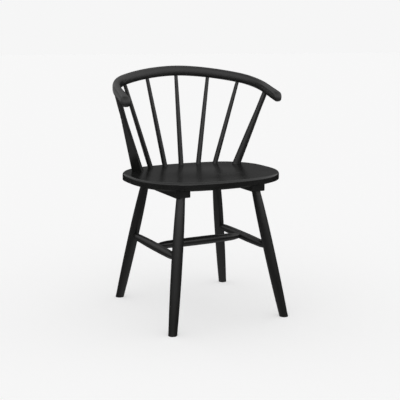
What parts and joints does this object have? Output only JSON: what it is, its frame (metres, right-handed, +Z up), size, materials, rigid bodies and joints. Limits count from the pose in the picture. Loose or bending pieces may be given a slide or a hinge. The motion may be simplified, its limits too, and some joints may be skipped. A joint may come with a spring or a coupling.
{
  "type": "windsor chair",
  "caption": "Low-back windsor chair: oval plank seat, splayed turned legs with stretchers, plain spindles and a bent rail that falls into the arms.",
  "frame": {"origin": "on the floor under the middle of the chair, halfway between the outer edges of the feet", "axes": "+Z up, the chair faces -Y, +X is the sitter's left"},
  "size_m": [0.5498, 0.4424, 0.7664],
  "materials": {
    "seat_paint": "black satin lacquer on wood",
    "rail_paint": "black satin lacquer on wood",
    "batten_paint": "black satin lacquer on wood",
    "turned_paint": "black satin lacquer on wood",
    "post_paint": "black satin lacquer on wood",
    "spindle_paint": "black satin lacquer on wood",
    "screw_steel": "plain zinc-plated steel"
  },
  "bodies": {
    "root": {"seat": "seat_paint", "arm_rail": "rail_paint", "batten_left": "batten_paint", "batten_right": "batten_paint", "batten_screws": "screw_steel", "stretcher_wedge_left": "turned_paint", "stretcher_wedge_right": "turned_paint", "arm_post_left": "post_paint", "arm_post_right": "post_paint", "leg_front_left": "turned_paint", "leg_front_right": "turned_paint", "leg_rear_left": "turned_paint", "leg_rear_right": "turned_paint", "side_stretcher_left": "turned_paint", "side_stretcher_right": "turned_paint", "cross_stretcher": "turned_paint", "spindle_1": "spindle_paint", "spindle_2": "spindle_paint", "spindle_3": "spindle_paint", "spindle_4": "spindle_paint", "spindle_5": "spindle_paint"}
  },
  "joints": []
}
